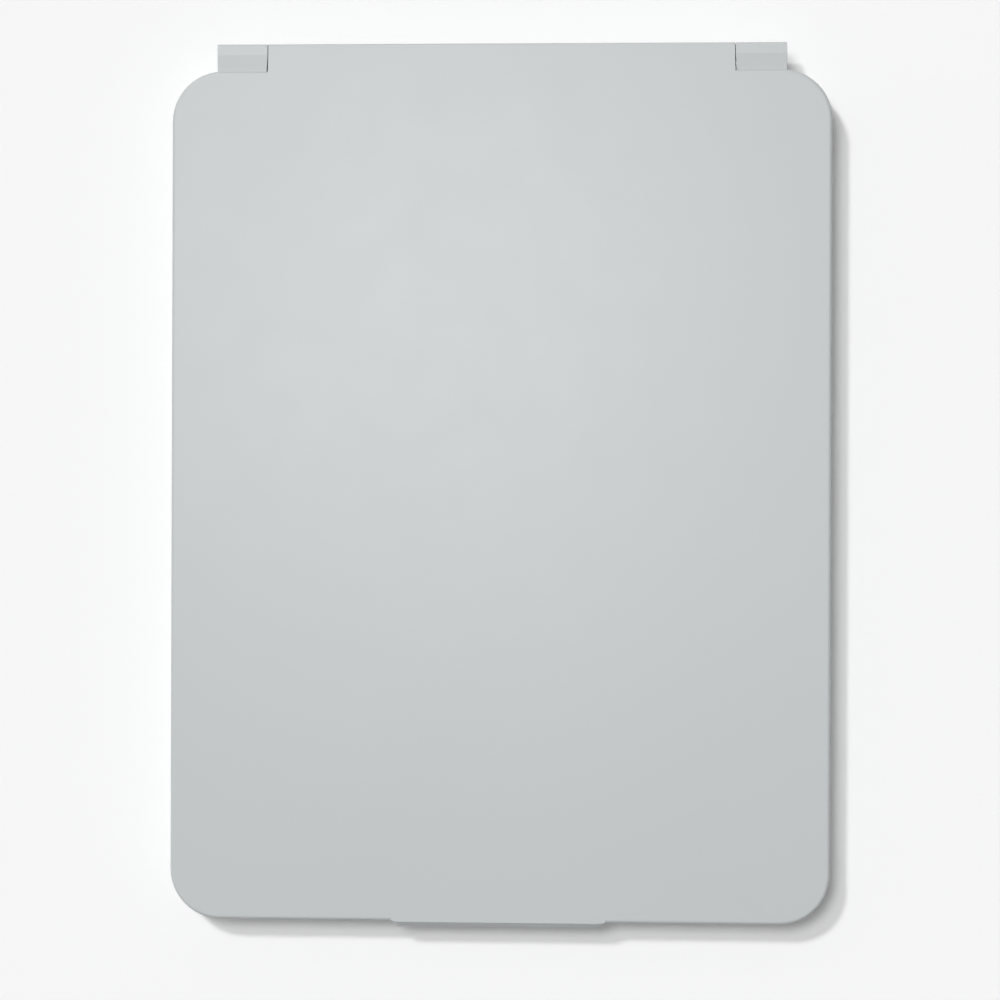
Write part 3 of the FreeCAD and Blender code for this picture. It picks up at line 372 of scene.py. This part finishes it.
def liner_fabric():
    """Microfibre: a fine weave under short brushed nap."""
    grey = (0.44, 0.455, 0.46)
    finish = Finish("liner_fabric", grey, roughness=0.95, Sheen_Weight=0.35, Sheen_Roughness=0.5)
    nap = finish.noise(grain=0.0012, detail=4.0, stretch=(1, 0.45, 1))
    finish.colour_from(nap, low=shade(grey, 0.88), high=shade(grey, 1.06))
    for axis in ("X", "Y"):
        finish.bump_from(finish.stripes(pitch=0.0006, axis=axis), depth=0.00003)
    finish.bump_from(nap, depth=0.0001)
    return finish


def dress_case():
    """Finishes of the pieces that show on the case, closed or open."""
    dress(case_plastic(), "cover_shell", "front_bezel", "rear_housing", "power_button")
    dress(diffuser_plastic(), "light_diffuser")
    dress(mirror_silver(), "mirror_glass")
    dress(silicone(), "rear_feet", "cover_bumpers")
    nickel = plated("magnet_nickel", colour=(0.66, 0.65, 0.62), roughness=0.18)
    dress(nickel, "keeper_magnets", "cover_magnets")
    steel = plated("steel", colour=(0.62, 0.62, 0.63), roughness=0.3, stretch=(1, 6, 6))
    dress(steel, "usb_c_shell", "hinge_pin_left", "hinge_pin_right")
    brass = plated("sleeve_brass", colour=(0.74, 0.56, 0.24), roughness=0.25)
    dress(brass, "friction_sleeve_left", "friction_sleeve_right")
    dress(light_pipe_clear(), "charge_light_pipe")


def dress_inside():
    """Finishes of the lights, the boards and the battery."""
    dress(foam_tape(), "mirror_tape", "battery_tape")
    dress(moulded("carrier_plastic", colour=(0.82, 0.82, 0.81)), "mirror_carrier")
    boards = [f"led_board_{side}" for side in ("hinge_side", "lip_side", "left", "right")]
    dress(moulded("led_board_white", colour=(0.88, 0.88, 0.86), roughness=0.35), *boards)
    dress(led_lens(), "led_packages")
    dress(ribbon_film(), "led_ribbon")
    dress(board_green(), "control_board")
    black = moulded("black_plastic", colour=(0.035, 0.035, 0.038), roughness=0.45)
    dress(black, "usb_c_tongue", "switch_body", "board_components", "switch_plunger")
    dress(battery_foil(), "battery_cell")
    dress(lead("lead_red", colour=(0.55, 0.03, 0.025)), "battery_lead_red")
    dress(lead("lead_black", colour=(0.02, 0.02, 0.02)), "battery_lead_black")
    dress(moulded("socket_white", colour=(0.82, 0.81, 0.77)), "battery_socket")


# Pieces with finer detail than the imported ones


def add_object(name, data):
    made = bpy.data.objects.new(name, data)
    bpy.context.scene.collection.objects.link(made)
    return made


def box_of(name):
    """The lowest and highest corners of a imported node."""
    return [Vector(corner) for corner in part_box(name)]


def piece_from(name, shape, finish, body):
    """Turns a bmesh into a piece that rides on a body."""
    bmesh.ops.recalc_face_normals(shape, faces=shape.faces)
    mesh = bpy.data.meshes.new(name)
    shape.to_mesh(mesh)
    shape.free()
    mesh.materials.append(finish.material)
    piece = add_object(name, mesh)
    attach(piece, body)
    return piece


def smooth(piece, crease):
    """Shades faces as one curve where they meet at less than the crease angle."""
    piece.data.set_sharp_from_angle(angle=radians(crease))
    for face in piece.data.polygons:
        face.use_smooth = True


def ring_of(shape, points):
    return [shape.verts.new(point) for point in points]


def bridge(shape, first, second):
    """A band of faces between two closed rings of as many points."""
    count = len(first)
    for index in range(count):
        after = (index + 1) % count
        shape.faces.new((first[index], first[after], second[after], second[index]))


def fill_between(shape, outer, inner):
    """Faces between an outer ring and a ring inside it with fewer points."""
    edges = []
    for ring in (outer, inner):
        for index, vertex in enumerate(ring):
            edges.append(shape.edges.get((vertex, ring[(index + 1) % len(ring)])))
    bmesh.ops.triangle_fill(shape, edges=edges, use_beauty=True)


def rounded_rectangle(half_width, half_length, radius, steps):
    """The points of a round-cornered outline about the origin."""
    points = []
    for quarter, (side_x, side_y) in enumerate(((1, 1), (-1, 1), (-1, -1), (1, -1))):
        for step in range(steps + 1):
            angle = (quarter + step / steps) * pi / 2
            x = side_x * (half_width - radius) + radius * cos(angle)
            y = side_y * (half_length - radius) + radius * sin(angle)
            points.append((x, y))
    return points


def liner_depth(inset, full):
    """How thick the liner is at a distance from its edge: a soft edge, then a pressed seam."""
    edge = 1.0 - min(inset / LINER_EDGE_RUN, 1.0)
    depth = full * (LINER_EDGE_SHARE + (1.0 - LINER_EDGE_SHARE) * sqrt(1.0 - edge * edge))
    off_seam = abs(inset - LINER_SEAM_INSET) / LINER_SEAM_HALF
    if off_seam < 1.0:
        depth -= LINER_SEAM_DEPTH * cos(off_seam * pi / 2) ** 2
    return depth


def cover_lining():
    """The microfibre sheet inside the cover, glued on its upper face."""
    low, high = box_of("cover_liner")
    middle = (low + high) / 2
    half = (high - low) / 2
    full = high.z - low.z
    shape = bmesh.new()
    rings = []
    for number in range(int(LINER_FINE_RUN / LINER_FINE_STEP) + 1):
        inset = number * LINER_FINE_STEP
        radius = max(LINER_CORNER - inset, LINER_FINE_STEP)
        outline = rounded_rectangle(half.x - inset, half.y - inset, radius, LINER_CORNER_STEPS)
        z = high.z - liner_depth(inset, full)
        rings.append(ring_of(shape, [(middle.x + x, middle.y + y, z) for x, y in outline]))
    glued = ring_of(shape, [(vertex.co.x, vertex.co.y, high.z) for vertex in rings[0]])
    for first, second in zip([glued] + rings, rings):
        bridge(shape, first, second)
    shape.faces.new(rings[-1])
    shape.faces.new(glued)
    piece = piece_from("cover_lining", shape, liner_fabric(), "cover")
    smooth(piece, LINER_CREASE)
    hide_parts("cover_liner")


def circle_points(radius, z):
    """A ring of a screw's head at a height."""
    turns = [2 * pi * step / SCREW_STEPS for step in range(SCREW_STEPS)]
    return [(radius * cos(turn), radius * sin(turn), z) for turn in turns]


def thread_points(z):
    """A ring of a screw's thread at a height, which runs from root to crest and back."""
    points = []
    for step in range(SCREW_STEPS):
        angle = 2 * pi * step / SCREW_STEPS
        crest = abs(((z / SCREW_PITCH - step / SCREW_STEPS) % 1.0) * 2 - 1)
        radius = SCREW_ROOT_RADIUS + (SCREW_SHANK_RADIUS - SCREW_ROOT_RADIUS) * crest
        points.append((radius * cos(angle), radius * sin(angle), z))
    return points


def cross_points(half_length, half_width, z):
    """The twelve corners of a plus sign."""
    arm = [(half_length, -half_width), (half_length, half_width), (half_width, half_width)]
    points = []
    for quarter in range(4):
        turn = (cos(quarter * pi / 2), sin(quarter * pi / 2))
        points += [(x * turn[0] - y * turn[1], x * turn[1] + y * turn[0], z) for x, y in arm]
    return points


def head_profile():
    """Radius and height from the flat middle of a screw's head, over its dome, to the shank."""
    flat = CROSS_HALF_LENGTH * SCREW_FLAT_SHARE
    profile = []
    for step in range(SCREW_DOME_STEPS + 1):
        angle = step / SCREW_DOME_STEPS * pi / 2
        radius = flat + (SCREW_HEAD_RADIUS - flat) * sin(angle)
        profile.append((radius, SCREW_DOME * (1.0 - cos(angle))))
    return profile + [(SCREW_HEAD_RADIUS, SCREW_HEAD_HEIGHT), (SCREW_SHANK_RADIUS, SCREW_HEAD_HEIGHT)]


def add_recess(shape, face):
    """The cross recess of a screw, inside the innermost ring of its head."""
    brim = ring_of(shape, cross_points(CROSS_HALF_LENGTH, CROSS_HALF_WIDTH, 0.0))
    bottom_length = CROSS_HALF_LENGTH * CROSS_TAPER
    bottom_width = CROSS_HALF_WIDTH * CROSS_TAPER
    bottom = ring_of(shape, cross_points(bottom_length, bottom_width, CROSS_DEPTH))
    bridge(shape, brim, bottom)
    shape.faces.new(bottom)
    fill_between(shape, face, brim)


def add_screw(shape, place, length):
    """A domed head with a cross recess, facing down, and a threaded shank above it."""
    first_vertex = len(shape.verts)
    rings = [ring_of(shape, circle_points(radius, z)) for radius, z in head_profile()]
    thread_rings = int((length - SCREW_HEAD_HEIGHT) / SCREW_PITCH * SCREW_PITCH_STEPS)
    for number in range(1, thread_rings + 1):
        z = SCREW_HEAD_HEIGHT + number * SCREW_PITCH / SCREW_PITCH_STEPS
        rings.append(ring_of(shape, thread_points(z)))
    for first, second in zip(rings, rings[1:]):
        bridge(shape, first, second)
    shape.faces.new(rings[-1])
    add_recess(shape, rings[0])
    shape.verts.ensure_lookup_table()
    bmesh.ops.translate(shape, verts=shape.verts[first_vertex:], vec=place)


def housing_screws():
    """The four screws of the rear housing, at the corners of their node's box."""
    low, high = box_of("housing_screws")
    shape = bmesh.new()
    for x in (low.x + SCREW_HEAD_RADIUS, high.x - SCREW_HEAD_RADIUS):
        for y in (low.y + SCREW_HEAD_RADIUS, high.y - SCREW_HEAD_RADIUS):
            add_screw(shape, Vector((x, y, low.z)), high.z - low.z)
    steel = plated("screw_steel", colour=(0.60, 0.60, 0.61), roughness=0.3)
    piece = piece_from("cross_screws", shape, steel, "mirror_body")
    smooth(piece, SCREW_CREASE)
    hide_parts("housing_screws")


def usb_contacts():
    """Gilt contacts on both faces of the socket's tongue, each sloping down at its tip."""
    low, high = box_of("usb_c_tongue")
    middle = (low + high) / 2
    tip = high.x - CONTACT_SETBACK
    back = tip - CONTACT_LENGTH
    shape = bmesh.new()
    for face, rise in ((low.z, -CONTACT_RISE), (high.z, CONTACT_RISE)):
        top = face + rise
        profile = [(back, face), (back, top), (tip - CONTACT_SLOPE, top), (tip, face)]
        for number in range(CONTACT_COUNT):
            y = middle.y + (number - (CONTACT_COUNT - 1) / 2) * CONTACT_PITCH
            near = ring_of(shape, [(x, y - CONTACT_WIDTH / 2, z) for x, z in profile])
            far = ring_of(shape, [(x, y + CONTACT_WIDTH / 2, z) for x, z in profile])
            bridge(shape, near, far)
            shape.faces.new(near)
            shape.faces.new(far)
    gilt = plated("contact_gilt", colour=(0.83, 0.62, 0.25), roughness=0.22)
    piece_from("usb_contacts", shape, gilt, "mirror_body")


def add_strip(shape, path, centre, base):
    """A flat raised line of even width along a path in the button's plane."""
    sections = []
    for index, point in enumerate(path):
        before = Vector(path[max(index - 1, 0)])
        after = Vector(path[min(index + 1, len(path) - 1)])
        across = (after - before).normalized().orthogonal() * MARK_LINE / 2
        left, right = Vector(point) + across, Vector(point) - across
        corners = [(left, 0.0), (left, MARK_RISE), (right, MARK_RISE), (right, 0.0)]
        places = [(centre.x + side.x, centre.y + side.y, base + z) for side, z in corners]
        sections.append(ring_of(shape, places))
    for first, second in zip(sections, sections[1:]):
        bridge(shape, first, second)
    shape.faces.new(sections[0])
    shape.faces.new(sections[-1])


def power_mark():
    """A printed ring with a bar, the common sign for a power button."""
    low, high = box_of("power_button")
    centre = (low + high) / 2
    base = high.z - DISH_DEPTH
    shape = bmesh.new()
    arc = []
    for step in range(MARK_STEPS + 1):
        past_gap = step / MARK_STEPS * (360 - 2 * MARK_HALF_GAP)
        angle = radians(MARK_BAR_ANGLE + MARK_HALF_GAP + past_gap)
        arc.append((MARK_RADIUS * cos(angle), MARK_RADIUS * sin(angle)))
    add_strip(shape, arc, centre, base)
    bar = [(0.0, -MARK_BAR - MARK_LINE), (0.0, -MARK_LINE)]
    add_strip(shape, bar, centre, base)
    ink = moulded("mark_ink", colour=(0.14, 0.145, 0.15), roughness=0.55)
    piece_from("power_mark", shape, ink, "power_button")


# Studio


def seen_directly(tree):
    """1 for rays that show the surface to the camera, in a reflection or through glass."""
    path = new_node(tree, "ShaderNodeLightPath")
    total = path.outputs["Is Camera Ray"]
    for ray in ("Is Glossy Ray", "Is Transmission Ray"):
        either = new_node(tree, "ShaderNodeMath", operation="MAXIMUM")
        tree.links.new(total, either.inputs[0])
        tree.links.new(path.outputs[ray], either.inputs[1])
        total = either.outputs["Value"]
    return total


def floor_paper():
    """Matt paper that shows a little brighter than it is lit."""
    paper = bpy.data.materials.new("floor_paper")
    paper.use_nodes = True
    tree = paper.node_tree
    shader = tree.nodes["Principled BSDF"]
    shader.inputs["Base Color"].default_value = FLOOR_COLOUR
    shader.inputs["Roughness"].default_value = 1.0
    shader.inputs["Specular IOR Level"].default_value = 0.0
    glow = new_node(tree, "ShaderNodeMath", operation="MULTIPLY")
    glow.inputs[1].default_value = FLOOR_GLOW
    tree.links.new(seen_directly(tree), glow.inputs[0])
    tree.links.new(glow.outputs["Value"], shader.inputs["Emission Strength"])
    return paper


def floor():
    """A wide sheet of pale paper that keeps the object's shadow."""
    mesh = bpy.data.meshes.new("floor")
    corners = [(-1, -1), (1, -1), (1, 1), (-1, 1)]
    mesh.from_pydata([(FLOOR_HALF * x, FLOOR_HALF * y, 0.0) for x, y in corners], [], [(0, 1, 2, 3)])
    mesh.materials.append(floor_paper())
    sheet = add_object("floor", mesh)


def shine(name, kind, source):
    """A lamp at a place above the object, turned towards the origin."""
    lamp = bpy.data.lights.new(name, kind)
    holder = add_object(name, lamp)
    holder.location = source
    holder.rotation_euler = (-Vector(source)).to_track_quat("-Z", "Y").to_euler()
    return holder


def sun(name, level, source, spread, sheen=True):
    """A far lamp that gives a flat surface its level of light."""
    holder = shine(name, "SUN", source)
    holder.visible_glossy = sheen
    holder.data.angle = radians(spread)
    holder.data.energy = pi * level / Vector(source).normalized().z


def panel(name, level, source, width):
    """A round lamp that shows only as a soft sheen."""
    holder = shine(name, "AREA", source)
    holder.visible_camera = False
    holder.visible_diffuse = False
    place = Vector(source)
    holder.data.shape = "DISK"
    holder.data.size = width
    holder.data.energy = pi * pi * level * place.length_squared / place.normalized().z


def lamps():
    """A key with a clear shadow, a wide fill, a panel over the cover and a low lamp on the left."""
    sun("key_light", KEY_LEVEL, KEY_FROM, KEY_SPREAD)
    sun("fill_light", FILL_LEVEL, FILL_FROM, FILL_SPREAD, sheen=False)
    panel("softbox", SOFTBOX_LEVEL, SOFTBOX_PLACE, SOFTBOX_WIDTH)
    sun("edge_light", EDGE_LEVEL, EDGE_FROM, EDGE_SPREAD, sheen=False)


def world_light(tree, direction):
    """Soft light from all round, strongest from where WORLD_LEAN points: behind, on the left."""
    lean = new_node(tree, "ShaderNodeVectorMath", operation="DOT_PRODUCT")
    lean.inputs[1].default_value = WORLD_LEAN
    share = new_node(tree, "ShaderNodeMath", operation="ADD")
    share.inputs[1].default_value = 1.0
    light = tree.nodes["Background"]
    light.inputs["Strength"].default_value = WORLD_LEVEL
    tree.links.new(direction, lean.inputs[0])
    tree.links.new(lean.outputs["Value"], share.inputs[0])
    tree.links.new(share.outputs["Value"], light.inputs["Color"])
    return light.outputs["Background"]


def world_picture(tree, direction):
    """What reflections show: a studio that darkens overhead."""
    upward = new_node(tree, "ShaderNodeSeparateXYZ")
    tone = new_node(tree, "ShaderNodeValToRGB")
    tone.color_ramp.elements[0].color = HORIZON_TONE
    tone.color_ramp.elements[1].color = ZENITH_TONE
    shown = new_node(tree, "ShaderNodeBackground")
    tree.links.new(direction, upward.inputs["Vector"])
    tree.links.new(upward.outputs["Z"], tone.inputs["Fac"])
    tree.links.new(tone.outputs["Color"], shown.inputs["Color"])
    return shown.outputs["Background"]


def world():
    """Lights the scene with one background and shows another."""
    sky = bpy.data.worlds.new("studio")
    bpy.context.scene.world = sky
    sky.use_nodes = True
    tree = sky.node_tree
    direction = new_node(tree, "ShaderNodeTexCoord").outputs["Generated"]
    either = new_node(tree, "ShaderNodeMixShader")
    tree.links.new(seen_directly(tree), either.inputs["Fac"])
    tree.links.new(world_light(tree, direction), either.inputs[1])
    tree.links.new(world_picture(tree, direction), either.inputs[2])
    tree.links.new(either.outputs["Shader"], tree.nodes["World Output"].inputs["Surface"])


def camera():
    lens = bpy.data.cameras.new("camera")
    lens.sensor_width = SENSOR_MILLIMETRES
    lens.lens = SENSOR_MILLIMETRES * VIEW_DISTANCE / (PIXEL_ON_OBJECT * PICTURE_PIXELS)
    holder = add_object("camera", lens)
    holder.location = CAMERA_PLACE
    holder.rotation_euler = [radians(turn) for turn in CAMERA_TURN]
    bpy.context.scene.camera = holder


dress_case()
dress_inside()
cover_lining()
housing_screws()
usb_contacts()
power_mark()
floor()
lamps()
world()
camera()
bpy.context.scene.view_settings.view_transform = "Standard"
